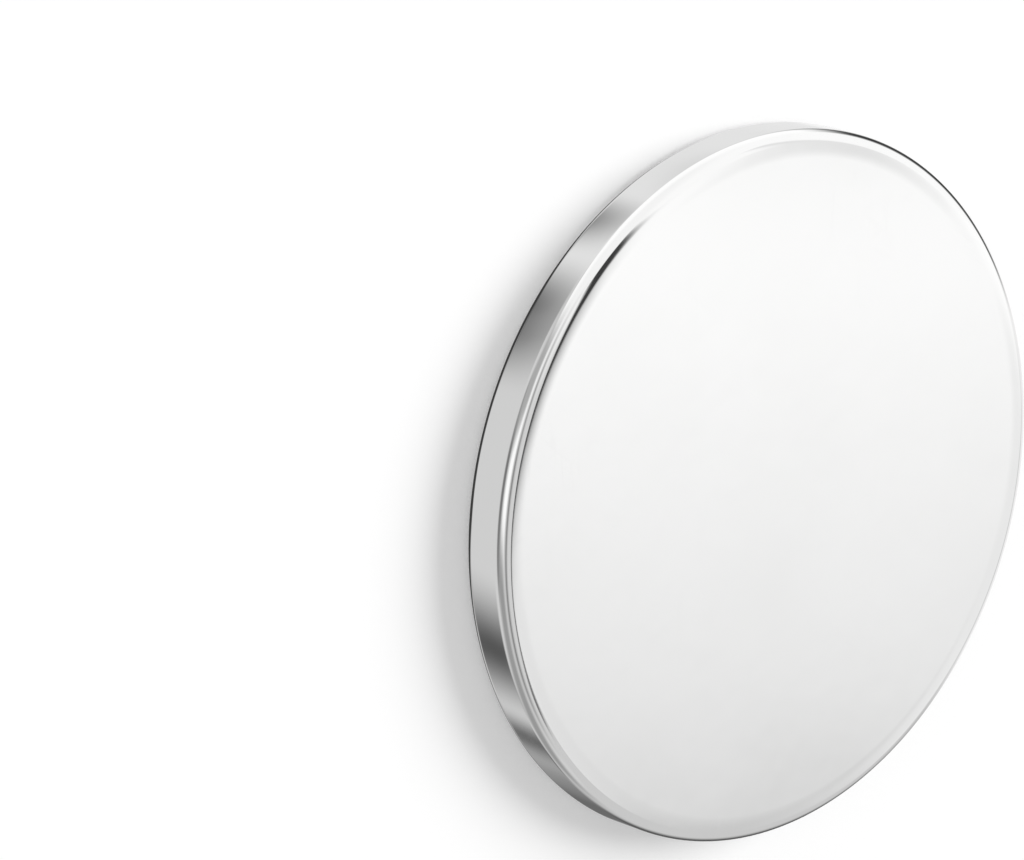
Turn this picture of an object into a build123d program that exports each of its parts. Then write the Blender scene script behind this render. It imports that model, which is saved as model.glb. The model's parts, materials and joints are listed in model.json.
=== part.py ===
"""Disc magnet: a thin round disc with flat faces and softly rounded rims.

It lies flat on one face, with its axis along +Z and its origin at the centre of that face.
"""
import os

from build123d import *

# Sizes of the plated disc, in millimetres
disc_diameter = 25.0
disc_thickness = 2.0

# Both rims are tumbled round before plating
rim_radius = 0.42

# The disc is one solid blank, with a full-round blend where each flat face meets the wall
with BuildPart() as magnet_disc:
    with BuildSketch() as disc_outline:
        Circle(radius=disc_diameter / 2)
    extrude(amount=disc_thickness)
    rim_edges = magnet_disc.edges().filter_by(GeomType.CIRCLE)
    fillet(rim_edges, radius=rim_radius)

magnet_disc.part.label = "magnet_disc"

os.makedirs("parts", exist_ok=True)
export_step(magnet_disc.part, "parts/magnet_disc.step")
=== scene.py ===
"""Disc magnet: one bright nickel-plated disc, lying flat on a pale studio floor.

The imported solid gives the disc's sizes. Everything is in metres, with the disc's axis along +Z.
"""
import json
import math

import bmesh
import bpy
from mathutils import Matrix, Vector


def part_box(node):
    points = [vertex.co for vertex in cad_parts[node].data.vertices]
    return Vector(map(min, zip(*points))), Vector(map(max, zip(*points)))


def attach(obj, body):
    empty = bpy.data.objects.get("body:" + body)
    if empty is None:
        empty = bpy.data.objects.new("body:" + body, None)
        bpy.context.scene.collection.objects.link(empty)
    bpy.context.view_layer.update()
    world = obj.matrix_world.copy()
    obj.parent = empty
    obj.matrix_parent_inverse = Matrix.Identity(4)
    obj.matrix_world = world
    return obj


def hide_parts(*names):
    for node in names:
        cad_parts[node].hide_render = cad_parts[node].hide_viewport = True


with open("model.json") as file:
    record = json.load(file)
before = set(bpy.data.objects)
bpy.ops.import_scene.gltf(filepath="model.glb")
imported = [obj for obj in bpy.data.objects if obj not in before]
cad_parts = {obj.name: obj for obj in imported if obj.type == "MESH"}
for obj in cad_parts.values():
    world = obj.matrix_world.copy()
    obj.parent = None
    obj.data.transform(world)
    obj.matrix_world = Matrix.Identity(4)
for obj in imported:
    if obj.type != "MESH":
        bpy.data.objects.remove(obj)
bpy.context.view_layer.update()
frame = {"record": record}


# The magnet: a sintered magnet blank, ground flat on both faces, tumbled round at its rims
# and plated with bright nickel. It is turned here from its half section, as on a lathe.

disc_low, disc_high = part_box("magnet_disc")
disc_radius = (disc_high.x - disc_low.x) / 2
disc_thickness = disc_high.z - disc_low.z
outer_wall = next(m for m in frame["record"]["mounts"] if m["name"] == "outer_wall")
wall_length = outer_wall["dims"]["length_mm"] / 1000
rim_radius = (disc_thickness - wall_length) / 2
shoulder_share = 0.076
shoulder_width = shoulder_share * disc_radius
shoulder_slope = math.radians(2.4)
turned_segments = 360
rim_steps = 33
shoulder_steps = 13
weld_distance = 1e-7


def nickel_plate():
    """Bright nickel: a mirror finish with a faint haze, orange peel and the hairlines of tumbling."""
    material = bpy.data.materials.new("nickel_plate")
    material.use_nodes = True
    nodes, links = material.node_tree.nodes, material.node_tree.links
    shader = nodes["Principled BSDF"]
    shader.inputs["Metallic"].default_value = 1.0
    place = nodes.new("ShaderNodeTexCoord").outputs["Object"]

    def cloud(where, per_metre, detail):
        node = nodes.new("ShaderNodeTexNoise")
        node.inputs["Scale"].default_value = per_metre
        node.inputs["Detail"].default_value = detail
        links.new(where, node.inputs["Vector"])
        return node.outputs["Fac"]

    def spread(value, low, high, at_low, at_high):
        node = nodes.new("ShaderNodeMapRange")
        for name, number in zip(("From Min", "From Max", "To Min", "To Max"), (low, high, at_low, at_high)):
            node.inputs[name].default_value = number
        links.new(value, node.inputs["Value"])
        return node.outputs["Result"]

    def joined(operation, a, b):
        node = nodes.new("ShaderNodeMath")
        node.operation = operation
        links.new(a, node.inputs[0])
        links.new(b, node.inputs[1])
        return node.outputs["Value"]

    # Slow haze across the plating, from the bath and from handling
    dull_nickel = (0.865, 0.865, 0.862, 1.0)
    clear_nickel = (0.895, 0.895, 0.893, 1.0)
    haze = cloud(place, per_metre=180.0, detail=3.0)
    tint = nodes.new("ShaderNodeValToRGB")
    tint.color_ramp.elements[0].position = 0.3
    tint.color_ramp.elements[0].color = dull_nickel
    tint.color_ramp.elements[1].position = 0.7
    tint.color_ramp.elements[1].color = clear_nickel
    links.new(haze, tint.inputs["Fac"])
    links.new(tint.outputs["Color"], shader.inputs["Base Color"])

    # Hairlines where the discs rubbed in the tumbler: thin contours of a noise drawn out lengthwise,
    # in three directions, broken up by a slower noise
    hairline_bearings = (20.0, 75.0, 140.0)
    hairline_stretch = (1.0, 0.04, 0.2)
    patches = cloud(place, per_metre=260.0, detail=2.0)
    worn = spread(patches, low=0.5, high=0.62, at_low=0.0, at_high=1.0)
    hairlines = None
    for bearing in hairline_bearings:
        drawn_out = nodes.new("ShaderNodeMapping")
        drawn_out.vector_type = "TEXTURE"
        drawn_out.inputs["Rotation"].default_value[2] = math.radians(bearing)
        drawn_out.inputs["Scale"].default_value = hairline_stretch
        links.new(place, drawn_out.inputs["Vector"])
        ridge = cloud(drawn_out.outputs["Vector"], per_metre=90.0, detail=1.0)
        rising = spread(ridge, low=0.5, high=0.515, at_low=0.0, at_high=1.0)
        falling = spread(ridge, low=0.515, high=0.53, at_low=1.0, at_high=0.0)
        line = joined("MULTIPLY", rising, falling)
        hairlines = line if hairlines is None else joined("MAXIMUM", hairlines, line)
    hairlines = joined("MULTIPLY", hairlines, worn)

    hazy_rough = spread(haze, low=0.2, high=0.8, at_low=0.04, at_high=0.10)
    hairline_rough = spread(hairlines, low=0.0, high=1.0, at_low=0.0, at_high=0.025)
    links.new(joined("ADD", hazy_rough, hairline_rough), shader.inputs["Roughness"])

    # Orange peel of the plating, and the hairlines cut a little into it
    relief_depth = 1.2e-6
    relief = nodes.new("ShaderNodeBump")
    relief.inputs["Distance"].default_value = relief_depth
    peel = cloud(place, per_metre=800.0, detail=1.0)
    cut = spread(hairlines, low=0.0, high=1.0, at_low=0.0, at_high=-0.002)
    links.new(joined("ADD", peel, cut), relief.inputs["Height"])
    links.new(relief.outputs["Normal"], shader.inputs["Normal"])
    return material


def disc_lathe(material):
    """Geometry nodes that turn a rounded half section about the disc's axis."""
    tree = bpy.data.node_groups.new("disc_lathe", "GeometryNodeTree")
    sizes = {}
    for name in ("Radius", "Thickness", "Rim radius", "Shoulder width", "Shoulder slope"):
        sizes[name] = tree.interface.new_socket(name, in_out="INPUT", socket_type="NodeSocketFloat")
    for name in ("Segments", "Rim steps", "Shoulder steps"):
        sizes[name] = tree.interface.new_socket(name, in_out="INPUT", socket_type="NodeSocketInt")
    tree.interface.new_socket("Disc", in_out="OUTPUT", socket_type="NodeSocketGeometry")
    nodes, links = tree.nodes, tree.links
    given = nodes.new("NodeGroupInput").outputs

    def math_node(operation, a, b=None):
        node = nodes.new("ShaderNodeMath")
        node.operation = operation
        for socket, value in zip(node.inputs, (a, b)):
            if isinstance(value, (int, float)):
                socket.default_value = value
            elif value is not None:
                links.new(value, socket)
        return node.outputs["Value"]

    def point(x, y):
        node = nodes.new("ShaderNodeCombineXYZ")
        links.new(x, node.inputs["X"])
        links.new(y, node.inputs["Y"])
        return node.outputs["Vector"]

    # The half section lies beside the turning circle: X runs out from its rim, Y across the disc.
    # Each face rolls off over a shallow shoulder before it turns into the round rim.
    half_thickness = math_node("MULTIPLY", given["Thickness"], 0.5)
    on_axis = math_node("MULTIPLY", given["Radius"], -1.0)
    flat_edge = math_node("MULTIPLY", given["Shoulder width"], -1.0)
    rim_centre = math_node("MULTIPLY", given["Rim radius"], -1.0)
    rim_sweep = math_node("SUBTRACT", math.pi / 2, given["Shoulder slope"])
    rim_run = math_node("MULTIPLY", given["Rim radius"], math_node("COSINE", rim_sweep))
    rim_rise = math_node("MULTIPLY", given["Rim radius"], math_node("SINE", rim_sweep))
    shoulder_edge = math_node("ADD", rim_centre, rim_run)
    shoulder_middle = math_node("MULTIPLY", math_node("ADD", flat_edge, shoulder_edge), 0.5)
    half_shoulder = math_node("SUBTRACT", shoulder_edge, shoulder_middle)
    shoulder_drop = math_node("MULTIPLY", half_shoulder, math_node("TANGENT", given["Shoulder slope"]))
    shoulder_height = math_node("SUBTRACT", half_thickness, shoulder_drop)
    rim_height = math_node("SUBTRACT", shoulder_height, rim_rise)

    section = nodes.new("GeometryNodeJoinGeometry")
    for side in (1.0, -1.0):
        face_level = math_node("MULTIPLY", half_thickness, side)
        face = nodes.new("GeometryNodeCurvePrimitiveLine")
        links.new(point(on_axis, face_level), face.inputs["Start"])
        links.new(point(flat_edge, face_level), face.inputs["End"])
        links.new(face.outputs["Curve"], section.inputs["Geometry"])

        shoulder = nodes.new("GeometryNodeCurveQuadraticBezier")
        links.new(given["Shoulder steps"], shoulder.inputs["Resolution"])
        links.new(point(flat_edge, face_level), shoulder.inputs["Start"])
        links.new(point(shoulder_middle, face_level), shoulder.inputs["Middle"])
        shoulder_end = point(shoulder_edge, math_node("MULTIPLY", shoulder_height, side))
        links.new(shoulder_end, shoulder.inputs["End"])
        links.new(shoulder.outputs["Curve"], section.inputs["Geometry"])

        arc = nodes.new("GeometryNodeCurveArc")
        links.new(given["Rim steps"], arc.inputs["Resolution"])
        links.new(given["Rim radius"], arc.inputs["Radius"])
        links.new(math_node("MULTIPLY", rim_sweep, side), arc.inputs["Sweep Angle"])
        arc.inputs["Start Angle"].default_value = 0.0
        seat = nodes.new("GeometryNodeTransform")
        links.new(arc.outputs["Curve"], seat.inputs["Geometry"])
        links.new(point(rim_centre, math_node("MULTIPLY", rim_height, side)), seat.inputs["Translation"])
        links.new(seat.outputs["Geometry"], section.inputs["Geometry"])

    # The section's points are strung on one line by their bearing from the disc's centre
    dots = nodes.new("GeometryNodeCurveToPoints")
    dots.mode = "EVALUATED"
    links.new(section.outputs["Geometry"], dots.inputs["Curve"])
    place = nodes.new("ShaderNodeSeparateXYZ")
    links.new(nodes.new("GeometryNodeInputPosition").outputs["Position"], place.inputs["Vector"])
    outward = math_node("ADD", place.outputs["X"], given["Radius"])
    bearing = math_node("ARCTAN2", place.outputs["Y"], outward)
    strung = nodes.new("GeometryNodePointsToCurves")
    links.new(dots.outputs["Points"], strung.inputs["Points"])
    links.new(bearing, strung.inputs["Weight"])

    circle = nodes.new("GeometryNodeCurvePrimitiveCircle")
    links.new(given["Segments"], circle.inputs["Resolution"])
    links.new(given["Radius"], circle.inputs["Radius"])
    turned = nodes.new("GeometryNodeCurveToMesh")
    links.new(circle.outputs["Curve"], turned.inputs["Curve"])
    links.new(strung.outputs["Curves"], turned.inputs["Profile Curve"])
    lifted = nodes.new("GeometryNodeTransform")
    lift = nodes.new("ShaderNodeCombineXYZ")
    links.new(half_thickness, lift.inputs["Z"])
    links.new(turned.outputs["Mesh"], lifted.inputs["Geometry"])
    links.new(lift.outputs["Vector"], lifted.inputs["Translation"])

    welded = nodes.new("GeometryNodeMergeByDistance")
    welded.inputs["Distance"].default_value = weld_distance
    links.new(lifted.outputs["Geometry"], welded.inputs["Geometry"])
    smooth = nodes.new("GeometryNodeSetShadeSmooth")
    links.new(welded.outputs["Geometry"], smooth.inputs["Geometry"])
    real = nodes.new("GeometryNodeRealizeInstances")
    links.new(smooth.outputs["Geometry"], real.inputs["Geometry"])
    plated = nodes.new("GeometryNodeSetMaterial")
    plated.inputs["Material"].default_value = material
    links.new(real.outputs["Geometry"], plated.inputs["Geometry"])
    links.new(plated.outputs["Geometry"], nodes.new("NodeGroupOutput").inputs["Disc"])
    return tree, {name: item.identifier for name, item in sizes.items()}


def turned_disc():
    """The finished disc as a plain mesh, with its place in the mesh."""
    blank = bpy.data.objects.new("disc_blank", bpy.data.meshes.new("disc_blank"))
    bpy.context.scene.collection.objects.link(blank)
    tree, sockets = disc_lathe(nickel_plate())
    lathe = blank.modifiers.new("lathe", "NODES")
    lathe.node_group = tree
    lathe[sockets["Radius"]] = disc_radius
    lathe[sockets["Thickness"]] = disc_thickness
    lathe[sockets["Rim radius"]] = rim_radius
    lathe[sockets["Shoulder width"]] = shoulder_width
    lathe[sockets["Shoulder slope"]] = shoulder_slope
    lathe[sockets["Segments"]] = turned_segments
    lathe[sockets["Rim steps"]] = rim_steps
    lathe[sockets["Shoulder steps"]] = shoulder_steps
    graph = bpy.context.evaluated_depsgraph_get()
    mesh = bpy.data.meshes.new_from_object(blank.evaluated_get(graph))
    mesh.name = "plated_disc"
    bpy.data.objects.remove(blank)
    shell = bmesh.new()
    shell.from_mesh(mesh)
    bmesh.ops.recalc_face_normals(shell, faces=shell.faces)
    shell.to_mesh(mesh)
    shell.free()
    disc = bpy.data.objects.new("plated_disc", mesh)
    bpy.context.scene.collection.objects.link(disc)
    return disc


plated_disc = turned_disc()
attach(plated_disc, "root")
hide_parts("magnet_disc")


# The floor: a wide sheet of matt white card that the disc lies on.
# It keeps the disc's shadow, and shows white where nothing shades it.

floor_reach = 1.0
floor_gap = 0.00001
floor_albedo = 0.8
floor_lift = 0.21


def white_card():
    """Matt white, with a little lift for the camera so that lit card reads as pure white."""
    material = bpy.data.materials.new("white_card")
    material.use_nodes = True
    nodes, links = material.node_tree.nodes, material.node_tree.links
    nodes.remove(nodes["Principled BSDF"])
    matt = nodes.new("ShaderNodeBsdfDiffuse")
    matt.inputs["Color"].default_value = (floor_albedo, floor_albedo, floor_albedo, 1.0)
    lift = nodes.new("ShaderNodeEmission")
    rays = nodes.new("ShaderNodeLightPath")
    strength = nodes.new("ShaderNodeMath")
    strength.operation = "MULTIPLY"
    strength.inputs[1].default_value = floor_lift
    links.new(rays.outputs["Is Camera Ray"], strength.inputs[0])
    links.new(strength.outputs["Value"], lift.inputs["Strength"])
    both = nodes.new("ShaderNodeAddShader")
    links.new(matt.outputs["BSDF"], both.inputs[0])
    links.new(lift.outputs["Emission"], both.inputs[1])
    links.new(both.outputs["Shader"], nodes["Material Output"].inputs["Surface"])
    return material


floor_level = disc_low.z - floor_gap
floor_corners = [(x * floor_reach, y * floor_reach, floor_level)
                 for x, y in ((-1, -1), (1, -1), (1, 1), (-1, 1))]
floor_mesh = bpy.data.meshes.new("floor")
floor_mesh.from_pydata(floor_corners, [], [(0, 1, 2, 3)])
floor = bpy.data.objects.new("floor", floor_mesh)
floor_mesh.materials.append(white_card())
bpy.context.scene.collection.objects.link(floor)
floor.visible_glossy = False


# The studio: white boxes, grey walls and dark gaps that the plating mirrors, and an even light for
# the card. Azimuth is counted from +X towards +Y, elevation from the horizon, both in degrees.

studio = bpy.data.worlds.new("studio")
bpy.context.scene.world = studio
studio.use_nodes = True
sky, wires = studio.node_tree.nodes, studio.node_tree.links
room_level = 0.7
card_level = 0.55
backdrop_level = 1.0


def sky_math(operation, a, b=None):
    """One sum on the studio's values; a and b are sockets or plain numbers."""
    node = sky.new("ShaderNodeMath")
    node.operation = operation
    for socket, value in zip(node.inputs, (a, b)):
        if isinstance(value, (int, float)):
            socket.default_value = value
        elif value is not None:
            wires.new(value, socket)
    return node.outputs["Value"]


def fade(value, low, high, at_low, at_high):
    """Smooth step from at_low to at_high as value goes from low to high."""
    node = sky.new("ShaderNodeMapRange")
    node.interpolation_type = "SMOOTHSTEP"
    wires.new(value, node.inputs["Value"])
    for name, number in zip(("From Min", "From Max", "To Min", "To Max"), (low, high, at_low, at_high)):
        node.inputs[name].default_value = number
    return node.outputs["Result"]


def mixed(light, target, share):
    """Light moved towards target by share; each is a socket or a plain number."""
    node = sky.new("ShaderNodeMix")
    for name, value in (("Factor", share), ("A", light), ("B", target)):
        if isinstance(value, (int, float)):
            node.inputs[name].default_value = value
        else:
            wires.new(value, node.inputs[name])
    return node.outputs["Result"]


def way(azimuth, elevation):
    """Unit vector towards a place in the studio."""
    a, e = math.radians(azimuth), math.radians(elevation)
    return Vector((math.cos(e) * math.cos(a), math.cos(e) * math.sin(a), math.sin(e)))


mirrored_way = sky.new("ShaderNodeTexCoord").outputs["Generated"]


def panel(light, azimuth, elevation, roll, wide, high, soft, level):
    """A white box or a dark flag around the disc: level inside it, with an edge soft degrees wide."""
    ahead = way(azimuth, elevation)
    level_east = way(azimuth + 90, 0)
    level_north = ahead.cross(level_east)
    tip = math.radians(roll)
    east = level_east * math.cos(tip) + level_north * math.sin(tip)
    aimed = sky.new("ShaderNodeMapping")
    aimed.inputs["Rotation"].default_value = Matrix((ahead, east, ahead.cross(east))).to_euler()
    wires.new(mirrored_way, aimed.inputs["Vector"])
    seen = sky.new("ShaderNodeSeparateXYZ")
    wires.new(aimed.outputs["Vector"], seen.inputs["Vector"])
    turned = sky_math("ARCTAN2", seen.outputs["Y"], seen.outputs["X"])
    raised = sky_math("ARCSINE", seen.outputs["Z"])
    share = None
    for angle, across in ((turned, wide), (raised, high)):
        off = sky_math("DEGREES", sky_math("ABSOLUTE", angle))
        inside = fade(off, (across - soft) / 2, (across + soft) / 2, 1.0, 0.0)
        share = inside if share is None else sky_math("MULTIPLY", share, inside)
    return mixed(light, level, share)


# The wide white box behind the disc dims slantwise, down and towards +X, in three overlapping steps,
# which grades the face from white to pale grey
slant_way = way(0, -30)
along_slant = sky.new("ShaderNodeVectorMath")
along_slant.operation = "DOT_PRODUCT"
wires.new(mirrored_way, along_slant.inputs[0])
along_slant.inputs[1].default_value = slant_way
slant = along_slant.outputs["Value"]
box_level = fade(slant, low=-0.39, high=-0.315, at_low=1.135, at_high=0.92)
middle_dimming = fade(slant, low=-0.325, high=-0.300, at_low=0.0, at_high=-0.17)
box_level = sky_math("ADD", box_level, middle_dimming)
lower_dimming = fade(slant, low=-0.315, high=-0.250, at_low=0.0, at_high=-0.12)
box_level = sky_math("ADD", box_level, lower_dimming)

# Its upper half is a little quieter on the near side, and beyond what the flat face mirrors
mirrored_parts = sky.new("ShaderNodeSeparateXYZ")
wires.new(mirrored_way, mirrored_parts.inputs["Vector"])
upper_half = fade(mirrored_parts.outputs["Z"], low=-0.3, high=0.2, at_low=0.0, at_high=1.0)
near_dimming = fade(mirrored_parts.outputs["Y"], low=-0.25, high=0.25, at_low=-0.06, at_high=0.0)
beyond_dimming = fade(slant, low=-0.47, high=-0.40, at_low=-0.05, at_high=0.0)
upper_dimming = sky_math("MULTIPLY", upper_half, sky_math("ADD", near_dimming, beyond_dimming))
box_level = sky_math("ADD", box_level, upper_dimming)
light = panel(room_level, azimuth=165, elevation=15, roll=10, wide=180, high=125, soft=25, level=box_level)

# Pale strips at the end of the box, below, beside and above what the flat face mirrors there:
# they keep its edge quiet
light = panel(light, azimuth=87, elevation=36, roll=0, wide=11, high=9, soft=2.5, level=0.92)
light = panel(light, azimuth=82, elevation=46, roll=0, wide=7, high=4, soft=3, level=0.83)
light = panel(light, azimuth=86, elevation=51, roll=0, wide=10, high=7, soft=2.5, level=0.90)

# The pale table beyond the disc, the grey wall beside the box, and the seam along the box's top
light = panel(light, azimuth=155, elevation=-60, roll=-15, wide=100, high=35, soft=5, level=0.85)
light = panel(light, azimuth=50, elevation=20, roll=-15, wide=45, high=60, soft=5, level=0.65)
light = panel(light, azimuth=120, elevation=46, roll=0, wide=36, high=4, soft=3, level=0.85)

# Dark gaps over the box and over the grey wall, which draw the edge of the face
light = panel(light, azimuth=130, elevation=70, roll=15, wide=55, high=12, soft=6, level=0.05)
light = panel(light, azimuth=70, elevation=56, roll=-5, wide=30, high=5, soft=4, level=0.15)

# The white box in front, with a gap above it, a dark foot below it and a grey wing on each side,
# which draw the lines round the near rim
light = panel(light, azimuth=290, elevation=35, roll=-5, wide=35, high=30, soft=15, level=1.1)
light = panel(light, azimuth=320, elevation=65, roll=-20, wide=80, high=10, soft=30, level=0.05)
light = panel(light, azimuth=290, elevation=-5, roll=5, wide=60, high=25, soft=15, level=0.2)
light = panel(light, azimuth=260, elevation=10, roll=0, wide=30, high=45, soft=20, level=0.45)
light = panel(light, azimuth=345, elevation=5, roll=-30, wide=80, high=40, soft=25, level=0.35)

# Dark feet behind the disc, with a lit slot between them, which draw the outline of the far rim
light = panel(light, azimuth=120, elevation=-15, roll=-20, wide=45, high=35, soft=15, level=0.05)
light = panel(light, azimuth=60, elevation=-25, roll=30, wide=50, high=40, soft=30, level=0.1)
light = panel(light, azimuth=95, elevation=-15, roll=0, wide=24, high=70, soft=6, level=0.95)

# Dark flags on the table round the disc, which band its wall
light = panel(light, azimuth=200, elevation=-50, roll=-10, wide=10, high=10, soft=10, level=0.1)
light = panel(light, azimuth=240, elevation=-50, roll=-10, wide=20, high=12, soft=15, level=0.05)
light = panel(light, azimuth=350, elevation=-45, roll=10, wide=20, high=20, soft=20, level=0.1)
light = panel(light, azimuth=25, elevation=-40, roll=15, wide=10, high=20, soft=10, level=0.15)
light = panel(light, azimuth=70, elevation=-45, roll=0, wide=20, high=20, soft=10, level=0.15)

# Painted shade: a dark patch straight below, in the studio that only mirrored rays see, stands for the card
# in the disc's own shade under its lower rim, which the lower rim mirrors as a dark line
light = panel(light, azimuth=270, elevation=-90, roll=0, wide=55, high=55, soft=10, level=0.05)

# Mirrored rays see the studio, the camera sees white, and all other rays see an even room
rays = sky.new("ShaderNodeLightPath")
even_room = sky["Background"]
even_level = mixed(card_level, backdrop_level, rays.outputs["Is Camera Ray"])
wires.new(even_level, even_room.inputs["Strength"])
mirrored_room = sky.new("ShaderNodeBackground")
wires.new(light, mirrored_room.inputs["Strength"])
for room in (even_room, mirrored_room):
    room.inputs["Color"].default_value = (1.0, 1.0, 1.0, 1.0)
which_room = sky.new("ShaderNodeMixShader")
glossy = sky_math("MAXIMUM", rays.outputs["Is Glossy Ray"], rays.outputs["Is Transmission Ray"])
wires.new(glossy, which_room.inputs["Fac"])
wires.new(even_room.outputs["Background"], which_room.inputs[1])
wires.new(mirrored_room.outputs["Background"], which_room.inputs[2])
wires.new(which_room.outputs["Shader"], sky["World Output"].inputs["Surface"])


# The key light: one broad sun from behind the disc, well up, which lays its soft shadow on the card.
# The plating doesn't mirror it.

key_energy = 2.2
key_breadth = math.radians(40)
key_way = way(130, 40)

key = bpy.data.objects.new("key", bpy.data.lights.new("key", "SUN"))
key.data.energy = key_energy
key.data.angle = key_breadth
key.rotation_mode = "QUATERNION"
key.rotation_quaternion = key_way.to_track_quat("Z", "Y")
key.visible_glossy = False
bpy.context.scene.collection.objects.link(key)


# The camera looks down on the face from the photograph's angle, rolled so that the disc's axis
# points right and a little down in the picture. Pixels are counted in the 1024 by 860 frame.

picture_width, picture_height = 1024, 860
focal_pixels = 7300.0
face_pixel = (774.3, 489.8)
axis_tilt = math.radians(44.5)
axis_droop = math.radians(17.1)
distance_in_radii = 20.0
distance = distance_in_radii * disc_radius
sensor_width = 36.0

back = Vector((0.0, -math.sin(axis_tilt), math.cos(axis_tilt)))
level_right = Vector((1.0, 0.0, 0.0))
level_up = back.cross(level_right)
roll = math.pi / 2 + axis_droop
right = level_right * math.cos(roll) + level_up * math.sin(roll)
up = level_up * math.cos(roll) - level_right * math.sin(roll)
aside = (face_pixel[0] - picture_width / 2) / focal_pixels * distance
below = (face_pixel[1] - picture_height / 2) / focal_pixels * distance
face_centre = Vector((0.0, 0.0, disc_high.z))

camera = bpy.data.objects.new("camera", bpy.data.cameras.new("camera"))
camera.data.sensor_width = sensor_width
camera.data.lens = focal_pixels * sensor_width / picture_width
camera.data.clip_start = distance / 10
camera.data.clip_end = distance * 100
spot = face_centre - right * aside + up * below + back * distance
camera.matrix_world = Matrix.Translation(spot) @ Matrix((right, up, back)).transposed().to_4x4()
bpy.context.scene.collection.objects.link(camera)
bpy.context.scene.camera = camera

bpy.context.scene.view_settings.view_transform = "Standard"
